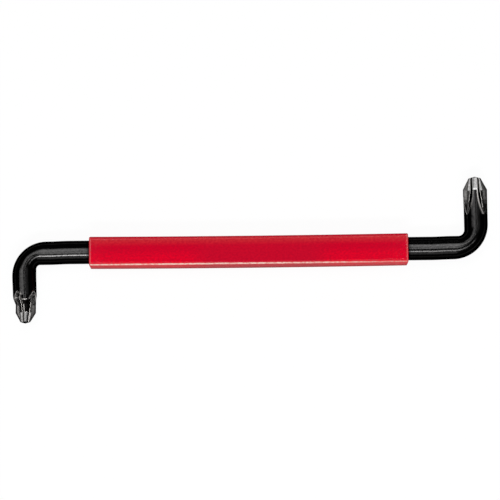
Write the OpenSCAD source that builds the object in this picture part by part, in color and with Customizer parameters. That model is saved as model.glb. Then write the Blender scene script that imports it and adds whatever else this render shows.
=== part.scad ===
// Offset screwdriver: a round steel bar bent into a flat Z, with a cross tip
// ground on the end of each leg, in a square plastic grip sleeve.
// The tool lies flat: X runs along the bar, the legs point along Y, Z is up.
// The origin is under the middle of the tool, on the surface that it lies on.

/* [Bar] */
// Diameter of the round bar
bar_d = 10; // [8:0.1:11]
// Length over the two legs
overall_l = 203.2; // [185:0.1:260]
// Radius of the outside of the bends
bend_outer_r = 14.7; // [13:0.1:16]

/* [Grip sleeve] */
// Length of the sleeve
sleeve_l = 135.6; // [60:0.1:150]
// Width of the sleeve across its flat sides
sleeve_w = 12.5; // [12.2:0.1:18]
// Radius of the sleeve's long corners
sleeve_corner_r = 1.3; // [0.8:0.1:2.5]
// Radius of the rims at the sleeve's ends
sleeve_rim_r = 0.5; // [0.3:0.05:0.9]
// Place of the sleeve's middle along the bar
sleeve_shift = -0.7; // [-8:0.1:8]
// Clearance between the bar and the bore, per side
bore_clearance = 0.02; // [0.01:0.01:0.1]
// Width of the flare at the mouths of the bore
bore_flare = 0.35; // [0.2:0.05:0.5]

/* [Small tip, size 3, left leg] */
// Reach of the leg, from the bar's centre line to its point
small_leg_reach = 30.3; // [29:0.1:45]
// Radius of the inside of the leg's bend
small_bend_inner_r = 1.8; // [1.4:0.1:4]
// Diameter that the tip is turned down to
small_tip_d = 8.5; // [7.4:0.1:9]
// Diameter of the wings at the point
small_point_d = 4.2; // [3.4:0.1:5]
// Half angle of the wings' cone
small_flank_angle = 28.5; // [26:0.5:32]
// Length of the turned-down tip, point to shoulder
small_neck_l = 8.3; // [7:0.1:9.5]
// Length of the conical shoulder
small_shoulder_l = 1.5; // [0.8:0.1:2]
// Thickness of a wing
small_wing_t = 1.42; // [1.2:0.01:1.8]
// Length of the wings' parallel part
small_wing_l = 5.5; // [4.5:0.1:6.5]
// Radius of the wheel that runs the flutes out
small_flute_r = 14; // [10:0.1:16]
// Reach of the ribs at the point
small_rib_reach = 1.65; // [1.4:0.05:1.9]
// Greatest thickness of a rib
small_rib_t = 1.3; // [1:0.05:1.6]

/* [Large tip, size 4, right leg] */
// Reach of the leg, from the bar's centre line to its point
large_leg_reach = 30.8; // [29:0.1:45]
// Radius of the inside of the leg's bend
large_bend_inner_r = 2.8; // [1.4:0.1:4]
// Diameter of the wings at the point
large_point_d = 5.08; // [4.4:0.01:6]
// Half angle of the wings' cone
large_flank_angle = 26.5; // [24:0.5:30]
// Thickness of a wing
large_wing_t = 2.16; // [1.8:0.01:2.6]
// Length of the wings' parallel part
large_wing_l = 5.9; // [5:0.1:7]
// Radius of the wheel that runs the flutes out
large_flute_r = 26; // [18:0.1:27]
// Reach of the ribs at the point
large_rib_reach = 2.5; // [2.1:0.05:2.9]
// Greatest thickness of a rib
large_rib_t = 1.6; // [1.2:0.05:2]

/* [Both tips] */
// Angle of the blunt cone at the very point
point_angle = 146; // [130:1:156]
// Slope of the ribs' crests to the tip's axis
rib_slope = 8; // [6:0.5:9]
// Thickness of a rib where it starts and ends
rib_edge_t = 0.4; // [0.2:0.05:0.7]

/* [Hidden] */

steel_black = [0.07, 0.07, 0.08];
grip_red = [0.80, 0.02, 0.15];

$fn = 96;
overrun = 1;              // how far a cut runs past what it cuts
bar_r = bar_d / 2;
axis_y = (small_leg_reach - large_leg_reach) / 2;
axis_z = sleeve_w / 2;    // height of the bar's centre line
corner_x = overall_l / 2 - bar_r;

// A bend takes up this much of the bar and of the leg, from their corner
bend_outer_start = bend_outer_r - bar_r;
bend_inner_start = max(small_bend_inner_r, large_bend_inner_r) + bar_r;
bend_lead = 0.3;          // straight lead before the first fibre turns
bend_start = max(bend_outer_start, bend_inner_start) + bend_lead;
bend_plug = 0.6;          // how far a bend's end sits inside the straight bar
bend_skin = 0.04;         // how far that end lies under the bar's surface
bend_sides = 40;
bend_steps = 12;

small_leg_l = small_leg_reach - bend_start;
large_leg_l = large_leg_reach - bend_start;
flute_bite = 0.01;        // depth of the wheel's path below the wings' sides

// Fibres of a bend

// Share of the way from the inside (0) to the outside (1) of the bend
function fibre_share(side) = (1 + cos(side)) / 2;

// Every fibre of the bar turns on its own arc, which touches its straight runs:
// the radius goes evenly from the inside of the bend to its outside
function fibre_r(side, inner_r) =
    inner_r + fibre_share(side) * (bend_outer_r - inner_r);

function bend_point(turn, side, inner_r) =
    let (
        turn_r = fibre_r(side, inner_r),
        start = turn_r + bar_r * -cos(side)
    )
    [start - turn_r * sin(turn), -start + turn_r * cos(turn), bar_r * sin(side)];
function turn_ring(turn, inner_r) = [
    for (i = [0 : bend_sides - 1]) bend_point(turn, i * 360 / bend_sides, inner_r)
];
// The leg's side of the bend mirrors the bar's side
function across(ring) = [for (p = ring) [-p[1], -p[0], p[2]]];

// One bend with its corner at the origin: the bar runs to +X, the leg to -Y
module bend(inner_r) {
    plug_r = bar_r - bend_skin;
    plug_ring = [
        for (i = [0 : bend_sides - 1])
            let (side = i * 360 / bend_sides)
            [bend_start + bend_plug, plug_r * cos(side), plug_r * sin(side)]
    ];
    rings = concat(
        [plug_ring],
        [for (k = [0 : bend_steps]) turn_ring(k * 90 / bend_steps, inner_r)],
        [across(plug_ring)]
    );
    last = len(rings) - 1;
    walls = [
        for (k = [0 : last - 1], i = [0 : bend_sides - 1])
            let (
                j = (i + 1) % bend_sides,
                a = k * bend_sides,
                b = a + bend_sides
            )
            each [[a + i, a + j, b + j], [a + i, b + j, b + i]]
    ];
    caps = [
        [for (i = [bend_sides - 1 : -1 : 0]) i],
        [for (i = [0 : bend_sides - 1]) last * bend_sides + i]
    ];
    polyhedron(points = [for (ring = rings, p = ring) p], faces = concat(caps, walls));
}

// Cross tips, each drawn with its point at the origin and its leg along +Z

// Side view of one pair of wings: parallel blades that swell into the leg
module wing_outline(wing_t, wing_l, flute_r, leg_l) {
    half_w = bar_r + overrun;
    difference() {
        translate([-half_w, -overrun])
            square([2 * half_w, leg_l + overrun]);
        for (side = [0, 1]) mirror([side, 0]) {
            translate([wing_t / 2, -2 * overrun])
                square([half_w, wing_l + 2 * overrun]);
            translate([wing_t / 2 + flute_r - flute_bite, wing_l])
                circle(flute_r, $fn = 360);
        }
    }
}

module wing_pair(wing_t, wing_l, flute_r, leg_l) {
    rotate([90, 0, 0])
        linear_extrude(2 * (bar_r + overrun), center = true)
            wing_outline(wing_t, wing_l, flute_r, leg_l);
}

// A pair of ribs between the wings: thickest where the wings' cone ends,
// with crests that climb until the flutes run out over them
module rib_pair(reach, widest_t, wing_l, leg_l) {
    crest = reach + leg_l * tan(rib_slope);
    intersection() {
        rotate([90, 0, 0])
            linear_extrude(widest_t, center = true)
                polygon([
                    [-reach, 0], [reach, 0], [crest, leg_l], [-crest, leg_l]
                ]);
        rotate([90, 0, 90])
            linear_extrude(2 * crest + overrun, center = true)
                polygon([
                    [rib_edge_t / 2, 0], [widest_t / 2, wing_l],
                    [rib_edge_t / 2, leg_l], [-rib_edge_t / 2, leg_l],
                    [-widest_t / 2, wing_l], [-rib_edge_t / 2, 0]
                ]);
    }
}

module cross_tip(outline, wing_t, wing_l, flute_r, rib_reach, rib_t, leg_l) {
    intersection() {
        rotate_extrude()
            polygon(outline);
        union() {
            for (turn = [0, 90]) rotate([0, 0, turn]) {
                wing_pair(wing_t, wing_l, flute_r, leg_l);
                rotate([0, 0, 45])
                    rib_pair(rib_reach, rib_t, wing_l, leg_l);
            }
        }
    }
}

module small_tip() {
    tip_r = small_tip_d / 2;
    point_r = small_point_d / 2;
    point_l = point_r / tan(point_angle / 2);
    cone_l = point_l + (tip_r - point_r) / tan(small_flank_angle);
    shoulder_end = small_neck_l + small_shoulder_l;
    cross_tip(
        [
            [0, 0], [point_r, point_l], [tip_r, cone_l], [tip_r, small_neck_l],
            [bar_r, shoulder_end], [bar_r, small_leg_l], [0, small_leg_l]
        ],
        small_wing_t, small_wing_l, small_flute_r, small_rib_reach, small_rib_t,
        small_leg_l
    );
}

module large_tip() {
    point_r = large_point_d / 2;
    point_l = point_r / tan(point_angle / 2);
    cone_l = point_l + (bar_r - point_r) / tan(large_flank_angle);
    cross_tip(
        [
            [0, 0], [point_r, point_l], [bar_r, cone_l], [bar_r, large_leg_l],
            [0, large_leg_l]
        ],
        large_wing_t, large_wing_l, large_flute_r, large_rib_reach, large_rib_t,
        large_leg_l
    );
}

// The bar, its two bends and its two legs are one piece of steel
module driver_bar() {
    bar_l = 2 * (corner_x - bend_start);
    color(steel_black) translate([0, axis_y, axis_z]) {
        rotate([0, 90, 0])
            cylinder(h = bar_l, r = bar_r, center = true);
        translate([-corner_x, 0, 0]) {
            bend(small_bend_inner_r);
            translate([0, -small_leg_reach, 0]) rotate([-90, 0, 0])
                small_tip();
        }
        rotate([0, 0, 180]) translate([-corner_x, 0, 0]) {
            bend(large_bend_inner_r);
            translate([0, -large_leg_reach, 0]) rotate([-90, 0, 0])
                large_tip();
        }
    }
}

// Rectangle with rounded corners, about its middle
module rounded_rect(w, h, r) {
    square([w - 2 * r, h], center = true);
    square([w, h - 2 * r], center = true);
    for (sx = [-1, 1], sy = [-1, 1])
        translate([sx * (w / 2 - r), sy * (h / 2 - r)])
            circle(r);
}

// Square tube with rounded long corners and rounded rims, bored for the bar
module grip_sleeve() {
    bore_r = bar_r + bore_clearance;
    color(grip_red) translate([sleeve_shift, axis_y, axis_z]) difference() {
        intersection() {
            rotate([90, 0, 90])
                linear_extrude(sleeve_l, center = true)
                    rounded_rect(sleeve_w, sleeve_w, sleeve_corner_r);
            intersection_for (turn = [0, 90]) rotate([turn, 0, 0])
                linear_extrude(sleeve_w + overrun, center = true)
                    rounded_rect(sleeve_l, sleeve_w, sleeve_rim_r);
        }
        rotate([0, 90, 0])
            cylinder(h = sleeve_l + overrun, r = bore_r, center = true);
        for (end = [0, 180]) rotate([0, 0, end]) translate([sleeve_l / 2, 0, 0])
            rotate([0, 90, 0])
                cylinder(h = 2 * bore_flare, r1 = bore_r - bore_flare,
                    r2 = bore_r + bore_flare, center = true);
    }
}

driver_bar();
grip_sleeve();
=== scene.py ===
from math import acos, asin, atan2, copysign, cos, degrees, hypot, pi, radians, sin, sqrt, tan

import bmesh
import bpy
from mathutils import Matrix, Vector


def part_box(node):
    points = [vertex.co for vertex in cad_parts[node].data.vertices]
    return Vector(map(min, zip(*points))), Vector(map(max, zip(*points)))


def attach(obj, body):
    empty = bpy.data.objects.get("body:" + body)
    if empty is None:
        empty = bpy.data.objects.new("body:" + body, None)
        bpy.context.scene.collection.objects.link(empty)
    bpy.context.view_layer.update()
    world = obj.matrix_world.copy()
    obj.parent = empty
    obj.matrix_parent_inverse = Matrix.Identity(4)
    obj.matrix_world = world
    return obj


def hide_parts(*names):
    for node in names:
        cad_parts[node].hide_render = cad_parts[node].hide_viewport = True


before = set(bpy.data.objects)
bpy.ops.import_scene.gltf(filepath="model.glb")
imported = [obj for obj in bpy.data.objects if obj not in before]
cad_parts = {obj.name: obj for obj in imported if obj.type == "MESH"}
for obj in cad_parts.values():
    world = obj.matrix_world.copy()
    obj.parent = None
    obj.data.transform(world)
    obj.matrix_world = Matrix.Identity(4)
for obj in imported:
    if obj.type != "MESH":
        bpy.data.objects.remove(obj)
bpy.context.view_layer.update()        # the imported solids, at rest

mm = 0.001


def smoothMin(a, b, reach):
    near = max(reach - abs(a - b), 0) / reach
    return min(a, b) - near * near * reach / 4


def smoothMax(a, b, reach):
    return -smoothMin(-a, -b, reach)


def ease(share):
    share = min(max(share, 0), 1)
    return share * share * (3 - 2 * share)


def finishPiece(name, bm, material, node):
    mesh = bpy.data.meshes.new(name)
    bm.to_mesh(mesh)
    bm.free()
    mesh.shade_smooth()
    piece = bpy.data.objects.new(name, mesh)
    bpy.context.collection.objects.link(piece)
    mesh.materials.append(material)
    piece.modifiers.new("evenShade", 'WEIGHTED_NORMAL')   # big faces shade flat, edges round
    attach(piece, "root")
    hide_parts(node)
    print("made", name, len(mesh.polygons), "faces")


# shader helpers

noiseSpan = (0.33, 0.67)     # most of a noise lies in here


def newMaterial(name):
    material = bpy.data.materials.new(name)
    material.use_nodes = True
    nodes = material.node_tree.nodes
    return material, nodes, material.node_tree.links, nodes["Principled BSDF"]


def mixColours(nodes, links, factor, first, second):
    mix = nodes.new('ShaderNodeMix')
    mix.data_type = 'RGBA'
    links.new(factor, mix.inputs["Factor"])
    for socket, value in ((mix.inputs["A"], first), (mix.inputs["B"], second)):
        if isinstance(value, tuple):
            socket.default_value = (*value, 1)
        else:
            links.new(value, socket)
    return mix.outputs["Result"]


def mixRough(nodes, links, factor, first, second):
    mix = nodes.new('ShaderNodeMix')
    links.new(factor, mix.inputs["Factor"])
    links.new(first, mix.inputs["A"])
    mix.inputs["B"].default_value = second
    return mix.outputs["Result"]


def combine(nodes, links, operation, first, second=None):
    node = nodes.new('ShaderNodeMath')
    node.operation = operation
    links.new(first, node.inputs[0])
    if isinstance(second, float):
        node.inputs[1].default_value = second
    elif second is not None:
        links.new(second, node.inputs[1])
    return node.outputs["Value"]


def remap(nodes, links, value, start, end, blend='LINEAR'):
    ramp = nodes.new('ShaderNodeMapRange')
    ramp.interpolation_type = blend
    for label, number in zip(("From Min", "From Max", "To Min", "To Max"), (*start, *end)):
        ramp.inputs[label].default_value = number
    links.new(value, ramp.inputs["Value"])
    return ramp.outputs["Result"]


def spread(nodes, links, value, low, high):
    return remap(nodes, links, value, (0, 1), (low, high))


def contrast(nodes, links, value):    # noise keeps to the middle, this spreads it
    return remap(nodes, links, value, noiseSpan, (0, 1))


def fade(nodes, links, value, full, none):      # millimetres: 1 up to the first, 0 from the second
    return remap(nodes, links, value, (full * mm, none * mm), (1, 0), 'SMOOTHSTEP')


def readShare(nodes, label):          # a share that the mesh carries
    reader = nodes.new('ShaderNodeAttribute')
    reader.attribute_name = label + "Share"
    return reader.outputs["Fac"]


def addBump(nodes, links, shader, height, strength, depth):
    bump = nodes.new('ShaderNodeBump')
    bump.inputs["Strength"].default_value = strength
    bump.inputs["Distance"].default_value = depth * mm
    links.new(height, bump.inputs["Height"])
    links.new(bump.outputs["Normal"], shader.inputs["Normal"])


def makeGrainGroup():
    group = bpy.data.node_groups.new("surfaceGrain", 'ShaderNodeTree')
    for label in ("Fine Scale", "Broad Scale", "Stretch"):
        group.interface.new_socket(label, in_out='INPUT', socket_type='NodeSocketFloat')
    for label in ("Fine", "Broad"):
        group.interface.new_socket(label, in_out='OUTPUT', socket_type='NodeSocketFloat')
    nodes, links = group.nodes, group.links
    inlet = nodes.new('NodeGroupInput')
    outlet = nodes.new('NodeGroupOutput')
    place = nodes.new('ShaderNodeTexCoord')
    squeeze = nodes.new('ShaderNodeCombineXYZ')
    squeeze.inputs["Y"].default_value = 1
    squeeze.inputs["Z"].default_value = 1
    links.new(inlet.outputs["Stretch"], squeeze.inputs["X"])
    along = nodes.new('ShaderNodeVectorMath')
    along.operation = 'MULTIPLY'
    links.new(place.outputs["Object"], along.inputs[0])
    links.new(squeeze.outputs["Vector"], along.inputs[1])
    for label, detail in (("Fine", 2), ("Broad", 1)):
        noise = nodes.new('ShaderNodeTexNoise')
        noise.inputs["Detail"].default_value = detail
        links.new(along.outputs["Vector"], noise.inputs["Vector"])
        links.new(inlet.outputs[label + " Scale"], noise.inputs["Scale"])
        links.new(noise.outputs["Fac"], outlet.inputs[label])
    return group


grainGroup = makeGrainGroup()


def addGrain(nodes, fineScale, broadScale, stretch):
    grain = nodes.new('ShaderNodeGroup')
    grain.node_tree = grainGroup
    grain.inputs["Fine Scale"].default_value = fineScale
    grain.inputs["Broad Scale"].default_value = broadScale
    grain.inputs["Stretch"].default_value = stretch
    return grain


# blackened steel, bare where the tips are ground, with painted shade and painted highlight lines

blackSteel = {
    "oxide": (0.0135, 0.0133, 0.0133),
    "oxideWorn": (0.0240, 0.0236, 0.0234),
    # painted shade: the near-black that the sides, flutes, rims, legs and the bar beside the sleeve are
    # darkened towards
    "paintedShade": (0.0025, 0.0024, 0.0024),
    "bareDull": (0.66, 0.655, 0.65),
    "bare": (0.95, 0.945, 0.94),
    # edge lines: worn edges, pale and rough so they show as painted highlight lines from any side
    "edge": (0.84, 0.81, 0.78),
    "rimTint": (0.02, 0.02, 0.02),
    "oxideRough": (0.13, 0.18),
    "bareRough": 0.72,
    "edgeRough": 0.5,
    "grain": (1250, 180, 1),          # fine scale, broad scale, stretch
    "bump": 0.002, "bumpDepth": 0.2,
}


def makeBlackSteel():
    material, nodes, links, shader = newMaterial("blackSteel")
    shader.inputs["Metallic"].default_value = 1
    shader.inputs["Specular Tint"].default_value = (*blackSteel["rimTint"], 1)
    grain = addGrain(nodes, *blackSteel["grain"])
    fine = contrast(nodes, links, grain.outputs["Fine"])
    colour = mixColours(nodes, links, fine, blackSteel["oxide"], blackSteel["oxideWorn"])
    ground = mixColours(nodes, links, fine, blackSteel["bareDull"], blackSteel["bare"])
    rough = spread(nodes, links, grain.outputs["Broad"], *blackSteel["oxideRough"])
    # painted shade, then edge lines (wear and painted highlight), then bare ground steel
    for label in ("paintedShade", "edge", "bare"):           # each lies over the ones before
        share = readShare(nodes, label)
        layer = ground if label == "bare" else blackSteel[label]
        colour = mixColours(nodes, links, share, colour, layer)
        if label + "Rough" in blackSteel:
            rough = mixRough(nodes, links, share, rough, blackSteel[label + "Rough"])
    links.new(colour, shader.inputs["Base Color"])
    links.new(rough, shader.inputs["Roughness"])
    addBump(nodes, links, shader, grain.outputs["Fine"], blackSteel["bump"], blackSteel["bumpDepth"])
    return material


# driver bar: one bar, bent at both ends, with a cross tip ground on each leg

bar = {                      # millimetres, degrees and shares
    "radius": 5.0,
    "bendStart": 10.4,       # the straight leg ends this far from the corner
    "bendSteps": 28,
    "shaftSteps": 10,
    "dip": 0.22,             # the shaft leans this much towards each leg
    "dipReach": 9.0,         # over this length before the bend
    "dipSteps": 6,
    "tipStep": 0.32,         # evenly spaced rings of a leg are this far apart or a little more
    "pointStep": 0.2,        # the first ring behind a point
    "edgeBand": 0.22,        # width of the bright strip, wear and painted highlight, on each side of a tip's edge
    "edgeRound": 0.06,
    "ribEdge": 0.4,          # thickness of a rib at both ends
    "leastSize": 0.4,        # the key angles are worked out on this radius at least
    "keyGap": 0.12,          # and lie this far apart at least
    "ribSine": 0.7,          # a rib stays inside its eighth of the ring
    "near": 0.01,            # a distance below this doesn't count
    "weld": 0.0001,
    "sideFacet": 0.08,       # bare metal on the cone of the side wings
    "fluteShade": 0.9,        # painted shade in the flutes beside the top and bottom wings
    "sideShade": 0.75,        # painted shade: the sides and the underside are blacker than the top
    "sideShadeStart": 0.76, "sideShadeFade": 0.12,     # heights, as shares of the radius
    "sideShadeReach": 2.0,    # it comes in over this length behind the flutes
    "collarShadow": 1.0, "collarReach": 1.5,           # painted shadow on the bar next to the sleeve
    "collarRings": (0, 0.5, 1),
}

# broken lines are (distance from the point, value), and pairs without a note are for the outside
# and the inside of the leg
smallTip = {
    "reach": 30.3, "bendInner": 1.8, "bendOuter": 14.7,
    "outline": [(0, 0), (0.642, 2.1), (4.51, 4.3), (8.0, 4.3), (9.4, 4.59), (10.7, 4.82), (12, 5.0)],
    "drift": [(0, 0.56), (1.7, 0.67), (4.5, 0.79), (8.2, 0.82), (9.4, 0.57), (10.7, 0.33),
              (13.3, 0.27), (19.9, 0)],          # off the leg's axis, inwards
    "swell": [(0, 0), (9.4, 0), (12, 0.03), (19.9, 0.05)],       # the inside is fuller by this share
    "turn": [(0, 4.5), (7.7, 6.2), (10.8, 7.0), (12.2, 10.5), (13.9, 9.7)],    # the cross leans
    "wings": [(0, 0.71), (3.0, 0.74), (4.5, 0.9), (7.7, 1.27), (10.8, 1.9), (12.2, 2.42),
              (13.9, 3.54)],                     # half thickness
    "ribPeak": 5.5, "ribReach": 1.95, "rib": 1.4, "ribSlope": 10.0,
    "bareEnds": (0.61, 4.54),                    # the ground cone, from and to
    "bareShares": (0.25, 0.22),
    "facetKey": 2,                               # its facet ends on this key angle
    # painted highlight lines round the tip at these places
    "brightRings": [4.51, 10.05], "ringBand": 0.2, "ringLine": 0.7,
    "darkCrownEnds": (4.6, 9.6),                      # the turned part, where the crown is darker, from and to
    # painted shade over the leg, as a share, fading out round the bend
    "legShade": 0.3,
    # top and bottom wings: bright lines, wear with painted highlight, along the edges of the crown and
    # of the ribs
    "crownLines": (1.0, 1.0), "crownLineStarts": (0, 10.2), "lineFill": (0.15, 0.3),
    "ribLines": (0.8, 0.9), "ribLineEnds": (12.0, 8.8),
    # side wings: bright edges with painted highlight and painted shade where the flutes run out,
    # painted dark rims before, a painted highlight line on the walls
    "runOutStart": 9.4, "runOutLines": (0.75, 1.0), "runOutShade": (0.6, 0),
    "rimShade": (1.0, 1.0), "wallLines": (0.14, 0),
    "wallSheen": 0.025, "ribSheen": 0.08,          # a painted grey sheen on their walls and on the ribs
}
largeTip = {
    "reach": 30.8, "bendInner": 2.8, "bendOuter": 15.2,
    "outline": [(0, 0), (0.777, 2.54), (5.711, 5.0)],
    "drift": [(0, 0.16), (4, 0.08), (6, 0), (20.4, 0)],
    "swell": [(0, 0.06), (8, 0.06), (14, 0.03), (20.4, 0.025)],
    "turn": [(0, 5.5), (17.2, 5.5)],
    "wings": [(0, 1.08), (6.2, 1.08), (8.2, 1.16), (10.2, 1.39), (12.2, 1.79), (14.2, 2.37),
              (15.7, 2.92), (17.2, 3.54)],
    "ribPeak": 5.9, "ribReach": 2.7, "rib": 1.6, "ribSlope": 8.0,
    "bareEnds": (0.74, 6.45),
    "bareShares": (1.0, 0.7),
    "facetKey": 1,
    # painted highlight lines round the tip at these places
    "brightRings": [5.711], "ringBand": 0.08, "ringLine": 0.9,
    "darkCrownEnds": (0, 0),
    # painted shade over the leg, as a share
    "legShade": 0.5,
    "crownLines": (1.0, 0.3), "crownLineStarts": (0, 0), "lineFill": (1.0, 0.3),
    "ribLines": (0.8, 0.4), "ribLineEnds": (14.2, 11.4),
    "runOutStart": 9.0, "runOutLines": (0.15, 1.0), "runOutShade": (0, 0),
    "rimShade": (0.8, 0), "wallLines": (0, 0.07),
    "wallSheen": 0.022, "ribSheen": 0.06,
}
barLow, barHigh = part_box("driver_bar")
cornerX = barHigh.x / mm - bar["radius"]
axisY = barHigh.y / mm - largeTip["reach"]
axisZ = (barHigh.z + barLow.z) / 2 / mm
eighth = pi / 4
octantSteps = (3, 1, 1, 4, 1, 1, 3, 1, 1, 2)      # columns between the key angles
crownKey, ribKey = 2, 8      # the key angles where a wing's crown ends and where a rib starts
octantColumns = sum(octantSteps)
barColumns = 8 * octantColumns


def follow(points, s):       # along a broken line of (s, value)
    for (s0, v0), (s1, v1) in zip(points, points[1:]):
        if s <= s1:
            return v0 + (v1 - v0) * (s - s0) / (s1 - s0)
    return points[-1][1]


def outerRadius(tip, s):     # the outline with its corners rounded
    if s <= 0:
        return 0
    step = min(bar["edgeRound"], s)
    around = follow(tip["outline"], s - step) + follow(tip["outline"], s + step)
    return (around + 2 * follow(tip["outline"], s)) / 4


def legLength(tip):
    return tip["reach"] - bar["bendStart"]


def runOut(tip):             # where the flutes end
    return tip["wings"][-1][0]


def ribHalf(tip, s):
    full = tip["rib"] / 2
    thin = bar["ribEdge"] / 2
    peak = tip["ribPeak"]
    share = s / peak if s < peak else (legLength(tip) - s) / (legLength(tip) - peak)
    return thin + (full - thin) * max(share, 0)


def octantKeys(size, wing, rib, crest):       # key angles from a wing's middle to a rib's middle
    band = bar["edgeBand"]
    wingEdge = asin(min(wing / size, sin(eighth)))
    valley = atan2(wing, wing + rib * sqrt(2))
    deep = wing / sin(valley)
    lean = max(atan2(rib, crest), asin(min(rib / size, bar["ribSine"])))
    ribEdge = eighth - lean
    reach = hypot(rib, crest)
    keys = [
        0,
        wingEdge - band / size, wingEdge, wingEdge + band * sin(wingEdge) / size,
        valley - band * sin(valley) / deep, valley, valley + band * sin(eighth - valley) / deep,
        ribEdge - band * sin(lean) / reach, ribEdge, ribEdge + band / reach,
        eighth,
    ]
    gap = radians(bar["keyGap"])
    for i in range(1, len(keys)):             # keep them in order
        keys[i] = max(keys[i], keys[i - 1] + gap)
    keys[-1] = eighth
    for i in range(len(keys) - 1, 0, -1):
        keys[i - 1] = min(keys[i - 1], keys[i] - gap * octantSteps[i - 1])
    keys[0] = 0
    return keys


def tipOctant(tip, s):       # (angle, radius, marks) from the middle of a wing to the middle of a rib
    outer = outerRadius(tip, s)
    size = max(outer, bar["leastSize"])
    wing = follow(tip["wings"], s)
    rib = ribHalf(tip, s)
    crest = tip["ribReach"] + s * tan(radians(tip["ribSlope"]))
    keys = octantKeys(size, wing, rib, crest)
    columns = []
    for k, steps in enumerate(octantSteps):
        for j in range(steps):
            columns.append((keys[k] + (keys[k + 1] - keys[k]) * j / steps, k, j))
    columns.append((eighth, len(octantSteps), 0))
    ground = tip["bareEnds"][0] < s < tip["bareEnds"][1]
    fluted = wing < size * sin(eighth) - bar["near"] and s > tip["bareEnds"][0]
    ringed = any(abs(s - place) < bar["near"] for place in tip["brightRings"])
    points = []
    for angle, k, j in columns:
        lean = eighth - angle
        wall = wing / sin(angle) if angle > 0 else outer + bar["radius"]
        rise = crest / cos(lean)
        if lean > 0:
            rise = min(rib / sin(lean), rise)
        radius = smoothMin(outer, smoothMax(wall, rise, bar["edgeRound"]), bar["edgeRound"])
        onCrown = k <= crownKey
        marks = {
            "crown": onCrown,
            "crownEdge": fluted and k == crownKey,
            "crownFill": fluted and k == crownKey - 1,
            "rim": fluted and (k == crownKey or (k == crownKey + 1 and j == 0)),
            "wallLine": fluted and k == crownKey + 1 and j == 1,
            "flute": fluted and crownKey < k < ribKey,
            "rib": fluted and k >= ribKey,
            "ribEdge": fluted and k == ribKey,
            "ring": ringed and onCrown,
            "ringMiddle": ringed and k == 0 and j < 2,
            "facet": ground and k <= tip["facetKey"],
            "ribEnd": ground and k > ribKey,
        }
        points.append((angle, radius if s > 0 else 0, marks))
    return points


def tipFinish(tip, s, marks, upright, inside):       # edge lines (wear and painted highlight), bare steel and painted shade at one point of a tip
    ring = marks["ringMiddle"] if inside else marks["ring"]
    edge = max(ring * tip["ringLine"], marks["rib"] * tip["ribSheen"])
    facet = tip["bareShares"][inside] if upright else bar["sideFacet"]
    bare = max(marks["facet"] * facet, marks["ribEnd"])
    paintedShade = tip["legShade"]
    blackCrown = marks["crown"] and tip["darkCrownEnds"][0] < s < tip["darkCrownEnds"][1]
    if blackCrown or s < tip["bareEnds"][0]:
        paintedShade = 1
    elif marks["flute"]:
        paintedShade = bar["fluteShade"] * upright
    if upright:
        line = max(marks["crownEdge"], marks["crownFill"] * tip["lineFill"][inside])
        if s > tip["crownLineStarts"][inside]:
            edge = max(edge, line * tip["crownLines"][inside])
        if s < tip["ribLineEnds"][inside]:
            edge = max(edge, marks["ribEdge"] * tip["ribLines"][inside])
    else:
        line = marks["wallLine"] * tip["wallLines"][inside]
        edge = max(edge, line, marks["flute"] * tip["wallSheen"])
        if s > tip["runOutStart"]:
            edge = max(edge, marks["crownEdge"] * tip["runOutLines"][inside])
            paintedShade = max(paintedShade, marks["flute"] * tip["runOutShade"][inside])
        elif marks["rim"]:
            edge *= 1 - tip["rimShade"][inside]
            paintedShade = max(paintedShade, tip["rimShade"][inside])
    return edge, bare, paintedShade


def tipRing(tip, s):         # (angle, radius, finish) once round, from the outside of the leg
    octant = tipOctant(tip, s)
    quarter = octant + [(pi / 2 - a, r, marks) for a, r, marks in reversed(octant[1:-1])]
    turn = radians(follow(tip["turn"], s))
    even = ease((s - runOut(tip)) / (legLength(tip) - runOut(tip)))     # evens out along the leg
    ring = []
    for n in range(4):
        for i, (a, r, marks) in enumerate(quarter):
            upright = (n if i < octantColumns else n + 1) % 2           # top and bottom wings
            a += pi / 2 * n
            inside = 0 if cos(a) > 0 else 1
            finish = tipFinish(tip, s, marks, upright, inside)
            a += turn
            evenAngle = 2 * pi * len(ring) / barColumns
            ring.append((a + (evenAngle - a) * even, r, finish))
    return ring


def tipStations(tip):
    places = [s for s, r in tip["outline"]] + [s for s, half in tip["wings"][1:]]
    places = sorted(places + [legLength(tip)])
    stations = {0.0, bar["pointStep"]}
    for start, end in zip(places, places[1:]):
        steps = max(int((end - start) / bar["tipStep"]), 1)
        stations.update(start + (end - start) * i / steps for i in range(steps + 1))
    for s, r in tip["outline"][1:]:
        stations.update((s - bar["edgeRound"], s + bar["edgeRound"]))
    for s in tip["brightRings"]:
        stations.update((s - tip["ringBand"], s, s + tip["ringBand"]))
    return sorted(round(s, 4) for s in stations)


def fibrePoint(tip, turn, side):  # every fibre of a bend turns on its own arc
    share = (1 + cos(side)) / 2
    radius = tip["bendInner"] + (tip["bendOuter"] - tip["bendInner"]) * share
    start = radius - bar["radius"] * cos(side)
    return Vector((start - radius * sin(turn), radius * cos(turn) - start, bar["radius"] * sin(side)))


def sideShade(side):          # painted shade: none on top of the bar, all of it on the sides and underneath
    return bar["sideShade"] * ease((bar["sideShadeStart"] - sin(side)) / bar["sideShadeFade"])


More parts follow.
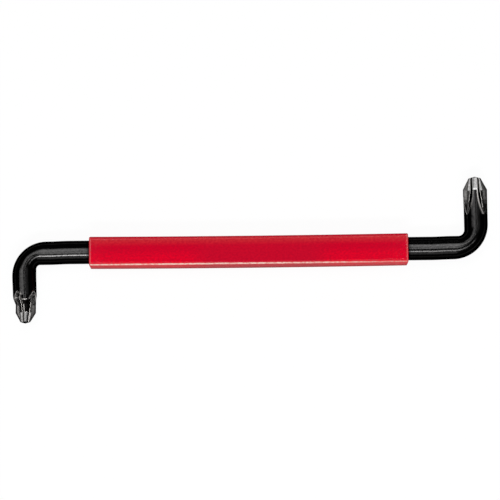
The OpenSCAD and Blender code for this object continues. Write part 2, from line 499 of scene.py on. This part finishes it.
def endRows(tip, right):     # rows of (place, finish), from the point to the start of the shaft
    corner = Vector((-cornerX, 0, 0))
    half = barColumns // 2
    order = [(half - i if right else i) % barColumns for i in range(barColumns + 1)]
    turnRound = Matrix.Translation((0, axisY, axisZ)) @ Matrix.Rotation(pi if right else 0, 4, 'Z')
    rows = []
    for s in tipStations(tip):
        ring = tipRing(tip, s)
        aside = follow(tip["drift"], s)
        inner = 1 + follow(tip["swell"], s)
        y = s - tip["reach"] - bar["dip"] * ease(s / legLength(tip))
        sides = ease((s - runOut(tip)) / bar["sideShadeReach"])
        row = []
        for i in order:
            a, r, (edge, bare, paintedShade) = ring[i]
            x = aside - r * cos(a) * (inner if cos(a) < 0 else 1)
            place = turnRound @ (corner + Vector((x, y, r * sin(a))))
            row.append((place, (edge, bare, max(paintedShade, sideShade(a) * sides))))
        rows.append(row)
    inner = tip["swell"][-1][1]
    for step in range(bar["bendSteps"] + 1):
        turn = pi / 2 * (1 - step / bar["bendSteps"])
        row = []
        for i in order:
            side = 2 * pi * i / barColumns
            place = fibrePoint(tip, turn, side) - Vector((0, bar["dip"], 0))
            if cos(side) < 0:
                place.x -= inner * bar["radius"] * cos(side) * sin(turn)
            paintedShade = max(tip["legShade"] * ease(turn / pi * 2), sideShade(side))
            row.append((turnRound @ (corner + place), (0, 0, paintedShade)))
        rows.append(row)
    return rows


def shaftRows():             # rows of (place, finish) between the two bends
    shaftEnd = cornerX - bar["bendStart"]
    level = shaftEnd - bar["dipReach"]
    dips = [shaftEnd - bar["dipReach"] * i / bar["dipSteps"] for i in range(1, bar["dipSteps"])]
    places = [level * (2 * i / bar["shaftSteps"] - 1) for i in range(bar["shaftSteps"] + 1)]
    places += dips + [-x for x in dips]
    sleeveLow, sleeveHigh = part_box("grip_sleeve")
    collars = (sleeveLow.x / mm, sleeveHigh.x / mm)
    for share in bar["collarRings"]:
        places += [collars[0] - bar["collarReach"] * share, collars[1] + bar["collarReach"] * share]
    rows = []
    for x in sorted(places):
        lean = copysign(bar["dip"] * ease((abs(x) - level) / bar["dipReach"]), x)
        apart = max(collars[0] - x, x - collars[1])
        collar = bar["collarShadow"] * ease(1 - abs(apart) / bar["collarReach"])
        row = []
        for i in range(barColumns + 1):
            side = 2 * pi * i / barColumns
            y = axisY + lean + bar["radius"] * cos(side)
            place = Vector((x, y, axisZ + bar["radius"] * sin(side)))
            row.append((place, (0, 0, max(sideShade(side), collar))))
        rows.append(row)
    return rows


def makeBar(material):
    rows = endRows(smallTip, False) + shaftRows() + endRows(largeTip, True)[::-1]
    bm = bmesh.new()
    layers = [bm.verts.layers.float.new(label) for label in ("edgeShare", "bareShare", "paintedShadeShare")]
    bmesh.ops.create_grid(bm, x_segments=barColumns, y_segments=len(rows) - 1, size=1)
    for vert in bm.verts:    # wrap the flat sheet round the bar
        column = round((vert.co.x + 1) / 2 * barColumns)
        row = round((vert.co.y + 1) / 2 * (len(rows) - 1))
        place, finish = rows[row][column]
        vert.co = place * mm
        for layer, share in zip(layers, finish):
            vert[layer] = share
    bmesh.ops.remove_doubles(bm, verts=bm.verts, dist=bar["weld"] * mm)   # seam and points
    bmesh.ops.recalc_face_normals(bm, faces=bm.faces)
    finishPiece("bentBar", bm, material, "driver_bar")


makeBar(makeBlackSteel())


# red plastic

redPlastic = {               # spans in millimetres: all of a colour at the first, none at the second
    "middle": (0.55, 0.001, 0.018),
    "lower": (0.712, 0.001, 0.018), "lowerSpan": (-3.6, 0.6),       # towards the front
    "patches": (0, 0.3),              # shares of the middle red in it
    "dull": (0.515, 0.003, 0.020), "dullSpan": (20, 34), "dullPlace": 4.5,     # a handled patch
    "paintedSheen": (0.518, 0.0255, 0.0315), "paintedSheenSpan": (4.6, 0.9),      # a painted sheen, towards the back
    "backEdge": (0.51, 0.002, 0.018), "backEdgeSpan": (5.1, 4.4),
    "paintedFootShade": (0.25, 0.010, 0.015), "paintedFootShadeSpan": (0.2, 10),          # painted shade along the foot of the flanks
    "fleck": (0.38, 0.002, 0.018), "flecks": (0, 0.6),
    "paleWearAndHighlight": (0.745, 0.52, 0.44), "paleWearAndHighlightSpread": (0.5, 1.5),      # painted highlight on the front edge and the rims, wear on the flank
    "gloss": (0.03, 0.05),
    "matt": 0.9,                      # flanks, corners and cut ends
    "index": 1.28,
    "grain": (1200, 55, 0.8),         # fine scale, broad scale, stretch
    "wave": 0.05, "waveDepth": 0.1,
}


def makeRedPlastic():
    material, nodes, links, shader = newMaterial("redPlastic")
    grain = addGrain(nodes, *redPlastic["grain"])
    fine = contrast(nodes, links, grain.outputs["Fine"])
    place = nodes.new('ShaderNodeTexCoord')
    split = nodes.new('ShaderNodeSeparateXYZ')
    links.new(place.outputs["Object"], split.inputs["Vector"])
    front = fade(nodes, links, split.outputs["Y"], *redPlastic["lowerSpan"])
    colour = mixColours(nodes, links, front, redPlastic["middle"], redPlastic["lower"])
    patches = spread(nodes, links, grain.outputs["Broad"], *redPlastic["patches"])
    colour = mixColours(nodes, links, patches, colour, redPlastic["middle"])
    aside = combine(nodes, links, 'SUBTRACT', split.outputs["X"], redPlastic["dullPlace"] * mm)
    apart = combine(nodes, links, 'ABSOLUTE', aside)
    # over these reds: a dull patch, a painted sheen towards the back, a darker back edge and painted
    # shade at the foot
    for label, value in (("dull", apart), ("paintedSheen", split.outputs["Y"]),
                         ("backEdge", split.outputs["Y"]), ("paintedFootShade", split.outputs["Z"])):
        share = fade(nodes, links, value, *redPlastic[label + "Span"])
        colour = mixColours(nodes, links, share, colour, redPlastic[label])
    flecks = spread(nodes, links, fine, *redPlastic["flecks"])
    colour = mixColours(nodes, links, flecks, colour, redPlastic["fleck"])
    # pale wear, and painted highlight on the front edge and the rims
    uneven = spread(nodes, links, fine, *redPlastic["paleWearAndHighlightSpread"])
    wearAndHighlight = combine(nodes, links, 'MULTIPLY', readShare(nodes, "wearAndHighlight"), uneven)
    colour = mixColours(nodes, links, wearAndHighlight, colour, redPlastic["paleWearAndHighlight"])
    links.new(colour, shader.inputs["Base Color"])
    gloss = spread(nodes, links, grain.outputs["Fine"], *redPlastic["gloss"])
    rough = mixRough(nodes, links, readShare(nodes, "matt"), gloss, redPlastic["matt"])
    links.new(rough, shader.inputs["Roughness"])
    shader.inputs["IOR"].default_value = redPlastic["index"]
    addBump(nodes, links, shader, grain.outputs["Broad"], redPlastic["wave"], redPlastic["waveDepth"])
    return material


# grip sleeve: a square tube with soft corners, pushed over the bar

sleeve = {                   # millimetres, degrees and shares
    "cornerRadius": 1.3,
    "cornerSteps": 16,
    "sideSteps": 12,
    "rimRadius": 0.5,
    "rimSteps": 5,
    "rimMargin": 0.25,       # the top starts to shine this far from a rim
    "boreRadius": 5.02,
    "flare": 0.35,
    "crown": 0.02,           # the flat sides fall off this much towards the corners
    "lengthSteps": 24,
    "offset": 0.3,           # the tube sits this much to the front of its bore
    "bow": 0.28,             # and its middle hangs this much further
    "crowd": 0.25,           # draws the points along a side towards its corners
    "weld": 0.001,
    "shineLean": 1, "shineFade": 2,             # only what lies flat on top shines
    # painted highlight on the front corner, as a pale rubbed band
    "frontEdgeHighlight": 0.9, "edgeHalf": 19.8, "edgeFade": 7,
    "edgeLean": 38, "edgeDrop": 12,             # its middle, and how far it drops at both ends
    "rightLess": 0.6, "rightStart": 15, "rightReach": 45,       # less of the painted highlight towards the right
    "flankWear": 0.06, "flankSpan": (45, 135), "flankFade": 15,
    # painted highlight along the rims of the cut ends
    "rimHighlight": 0.16, "rimPlace": 0.48, "rimHalf": 0.26, "rimFade": 0.2,
    "rimRise": 0.3,          # a rim takes the full painted highlight where its normal rises by this share
    "capLean": 0.3,          # beyond this share of lean towards an end, only the rim gets the painted highlight
}


def sleeveStations(start, end, half):     # (x, reach, roundness) once round the wall, from one end cap
    rim = sleeve["rimRadius"]
    bore, flare = sleeve["boreRadius"], sleeve["flare"]
    turns = [pi / 2 * i / sleeve["rimSteps"] for i in range(sleeve["rimSteps"] + 1)]
    curve = [(rim * (1 - cos(turn)), half - rim * (1 - sin(turn))) for turn in turns]
    stations = [(start + inset, reach, 0) for inset, reach in curve]
    first = start + rim + sleeve["rimMargin"]
    run = end - rim - sleeve["rimMargin"] - first
    for step in range(sleeve["lengthSteps"] + 1):
        stations.append((first + run * step / sleeve["lengthSteps"], half, 0))
    stations += [(end - inset, reach, 0) for inset, reach in reversed(curve)]
    stations += [(end, bore + flare, 1), (end - flare, bore, 1)]
    stations += [(start + flare, bore, 1), (start, bore + flare, 1)]
    return stations + stations[:1]


def addSquareRing(bm, half):          # its points are kept in a layer
    bmesh.ops.create_grid(bm, x_segments=1, y_segments=1, size=half)
    bmesh.ops.bevel(bm, geom=bm.verts[:], offset=sleeve["cornerRadius"], affect='VERTICES',
                    segments=sleeve["cornerSteps"], profile=0.5, material=-1)
    bmesh.ops.delete(bm, geom=bm.faces[:], context='FACES_ONLY')
    sides = [edge for edge in bm.edges if edge.calc_length() > half]
    bmesh.ops.subdivide_edges(bm, edges=sides, cuts=sleeve["sideSteps"] - 1)
    flat = half - sleeve["cornerRadius"]
    outline = bm.verts.layers.float_vector.new("outline")
    for vert in bm.verts:    # crown the four sides a little
        across = []
        for place in vert.co.xy / flat:
            across.append(copysign(abs(place) ** sleeve["crowd"], place) if abs(place) < 1 else place)
        x, y = across
        fallX = sleeve["crown"] * min(abs(y), 1) ** 2 * max(min(x, 1), -1) ** 3
        fallY = sleeve["crown"] * min(abs(x), 1) ** 2 * max(min(y, 1), -1) ** 3
        vert[outline] = (0, x * flat - fallX, y * flat - fallY)
    return outline


def sleeveMattAndHighlight(vert, start, end):     # matt share, and the share of wear and painted highlight, at one point
    x, normal = vert.co.x, vert.normal
    lean = degrees(acos(min(normal.z, 1)))
    matt = ease((lean - sleeve["shineLean"]) / sleeve["shineFade"])
    front = degrees(atan2(-normal.y, normal.z))
    share = (x - start) / (end - start) * 2 - 1
    off = abs(front - sleeve["edgeLean"] - sleeve["edgeDrop"] * share * share)
    # painted highlight on the front edge
    edge = sleeve["frontEdgeHighlight"] * ease((sleeve["edgeHalf"] - off) / sleeve["edgeFade"])
    edge *= 1 - sleeve["rightLess"] * ease((x - sleeve["rightStart"]) / sleeve["rightReach"])
    flankTop, flankFoot = sleeve["flankSpan"]
    flank = sleeve["flankWear"] * ease((front - flankTop) / sleeve["flankFade"])
    flank *= ease((flankFoot - front) / sleeve["flankFade"])
    # painted highlight on the rims, on their upper side
    off = abs(min(x - start, end - x) - sleeve["rimPlace"])
    rim = sleeve["rimHighlight"] * ease((sleeve["rimHalf"] - off) / sleeve["rimFade"])
    rim *= ease(normal.z / sleeve["rimRise"])
    return matt, max(edge, flank, rim) if abs(normal.x) < sleeve["capLean"] else rim


def makeSleeve(material):
    low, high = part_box("grip_sleeve")
    half = (high.y - low.y) / 2 / mm
    middle = (high.y + low.y) / 2 / mm
    height = (high.z + low.z) / 2 / mm
    start, end = low.x / mm, high.x / mm
    bm = bmesh.new()
    outline = addSquareRing(bm, half)
    loop, verts = bm.edges[:], bm.verts[:]
    for number, (x, reach, roundness) in enumerate(sleeveStations(start, end, half)):
        if number:
            made = bmesh.ops.extrude_edge_only(bm, edges=loop)["geom"]
            verts = [part for part in made if isinstance(part, bmesh.types.BMVert)]
            fresh = set(verts)
            loop = [part for part in made if isinstance(part, bmesh.types.BMEdge)
                    and fresh.issuperset(part.verts)]
        share = (x - start) / (end - start) * 2 - 1
        sag = (sleeve["offset"] + sleeve["bow"] * (1 - share * share)) * (1 - roundness)
        for vert in verts:
            across = vert[outline].copy()
            across *= reach / (across.length if roundness else half)
            vert.co = Vector((x, middle - sag, height)) + across
    bm.verts.layers.float_vector.remove(outline)
    bmesh.ops.remove_doubles(bm, verts=bm.verts, dist=sleeve["weld"])
    bmesh.ops.recalc_face_normals(bm, faces=bm.faces)
    bm.normal_update()
    layers = [bm.verts.layers.float.new(label) for label in ("mattShare", "wearAndHighlightShare")]
    for vert in bm.verts:
        for layer, share in zip(layers, sleeveMattAndHighlight(vert, start, end)):
            vert[layer] = share
    bmesh.ops.scale(bm, vec=(mm, mm, mm), verts=bm.verts)
    print("sleeve open edges", sum(not edge.is_manifold for edge in bm.edges))
    finishPiece("gripSleeve", bm, material, "grip_sleeve")


makeSleeve(makeRedPlastic())


# pale floor, white to the camera

floorLook = {"size": 6.0, "segments": 64, "colour": (0.9, 0.9, 0.9), "whiteShare": 0.94}


def makeFloor():
    bm = bmesh.new()
    bmesh.ops.create_circle(bm, cap_ends=True, segments=floorLook["segments"], radius=floorLook["size"])
    mesh = bpy.data.meshes.new("floor")
    bm.to_mesh(mesh)
    bm.free()
    floor = bpy.data.objects.new("floor", mesh)
    bpy.context.collection.objects.link(floor)
    material, nodes, links, shader = newMaterial("paleFloor")
    shader.inputs["Base Color"].default_value = (*floorLook["colour"], 1)
    shader.inputs["Roughness"].default_value = 1
    shader.inputs["Specular IOR Level"].default_value = 0
    white = nodes.new('ShaderNodeEmission')
    path = nodes.new('ShaderNodeLightPath')
    seen = path.outputs["Is Camera Ray"]
    for label in ("Is Glossy Ray", "Is Transmission Ray"):
        seen = combine(nodes, links, 'MAXIMUM', seen, path.outputs[label])
    blend = nodes.new('ShaderNodeMixShader')
    share = combine(nodes, links, 'MULTIPLY', seen, floorLook["whiteShare"])
    links.new(share, blend.inputs["Fac"])
    links.new(shader.outputs["BSDF"], blend.inputs[1])
    links.new(white.outputs["Emission"], blend.inputs[2])
    links.new(blend.outputs["Shader"], nodes["Material Output"].inputs["Surface"])
    mesh.materials.append(material)
    print("made floor")


makeFloor()


# soft studio light: angles from straight up, x to the right and y to the back

softboxes = {
    # name: ((x0, x1), (y0, y1), brightness)
    "backLeftBox": ((-10, -3), (22, 32), 5.0),
    "backRightBox": ((3, 10), (22, 32), 6.0),
    "topLeftBox": ((-10, -3), (12.5, 22), 8.0),
    "topRightBox": ((3, 10), (12.5, 22), 9.0),
    "leftGapBox": ((-8, -6.3), (-0.5, 12.5), 13.0),
    "rightGapBox": ((6.3, 8), (-0.5, 12.5), 15.0),
    "frontLeftBox": ((-11, -4), (-18, -0.5), 6.5),
    "frontRightBox": ((4, 11), (-12, -0.5), 6.5),
    "cornerBox": ((-24, -10), (12.5, 24), 3.5),
    "leftFarBox": ((-42, -25), (3.5, 11.5), 5.5),
    "leftBox": ((-25, -14), (3.5, 11.5), 8.0),
    "legBox": ((-14, -8.2), (3.5, 11.5), 5.0),
    "rightBox": ((14, 24), (3.5, 11.5), 1.3),
    "rightFarBox": ((24, 38), (3.5, 11.5), 0.7),
    "leftStrip": ((-9.5, -4), (-39.5, -32.5), 48.0),
    "middleStrip": ((-4, 3.5), (-39, -33.5), 37.0),
    "rightStrip": ((3.5, 8.5), (-39.5, -32.5), 20.0),
    "bendStripA": ((8.5, 18), (-38.5, -32.5), 16.0),
    "bendStripB": ((18, 29), (-34, -27), 10.0),
    "bendStripC": ((29, 37), (-25.5, -15.5), 6.0),
    "frontFill": ((-14, 12), (-67, -43), 1.2),
    "tipFill": ((13, 24), (50, 68), 5.5),
}
boxDistance = 1.8            # metres
worldLight = 0.03


def addSoftbox(name, spanX, spanY, brightness):
    midX = radians(sum(spanX) / 2)
    midY = radians(sum(spanY) / 2)
    aim = Vector((tan(midX) / cos(midY), tan(midY), 1)).normalized()
    lamp = bpy.data.lights.new(name, 'AREA')
    lamp.shape = 'RECTANGLE'
    lamp.size = 2 * boxDistance * tan(radians(spanX[1] - spanX[0]) / 2)
    lamp.size_y = 2 * boxDistance * tan(radians(spanY[1] - spanY[0]) / 2)
    lamp.energy = brightness * pi * lamp.size * lamp.size_y
    box = bpy.data.objects.new(name, lamp)
    bpy.context.collection.objects.link(box)
    right = Vector((0, 1, 0)).cross(aim).normalized()
    up = aim.cross(right)
    turn = Matrix((right, up, aim)).transposed().to_4x4()
    box.matrix_world = Matrix.Translation(aim * boxDistance) @ turn
    box.visible_camera = False


def makeLight():
    for name, (spanX, spanY, brightness) in softboxes.items():
        addSoftbox(name, spanX, spanY, brightness)
    world = bpy.data.worlds.new("studio")
    world.use_nodes = True
    sky = world.node_tree.nodes["Background"]
    sky.inputs["Color"].default_value = (1, 1, 1, 1)
    sky.inputs["Strength"].default_value = worldLight
    bpy.context.scene.world = world
    print("made light")


makeLight()


# camera, almost straight above

view = {                     # metres and degrees
    "distance": 1.1,
    "elevation": 82.0,
    "roll": -0.65,
    "frameWidth": 0.2134,    # across the picture at the bar's axis
    "aimSide": -0.00013,
    "aimBack": 0.0002,
    "clip": (0.05, 50),
}


def makeCamera():
    data = bpy.data.cameras.new("camera")
    data.lens = data.sensor_width * view["distance"] / view["frameWidth"]
    data.clip_start, data.clip_end = view["clip"]
    camera = bpy.data.objects.new("camera", data)
    bpy.context.collection.objects.link(camera)
    tilt = radians(90 - view["elevation"])
    turn = Matrix.Rotation(tilt, 4, 'X') @ Matrix.Rotation(radians(view["roll"]), 4, 'Z')
    target = Vector((view["aimSide"], axisY * mm + view["aimBack"], axisZ * mm))
    back = Matrix.Translation((0, 0, view["distance"]))
    camera.matrix_world = Matrix.Translation(target) @ turn @ back
    bpy.context.scene.camera = camera
    bpy.context.scene.view_settings.view_transform = 'Standard'
    print("made camera")


makeCamera()
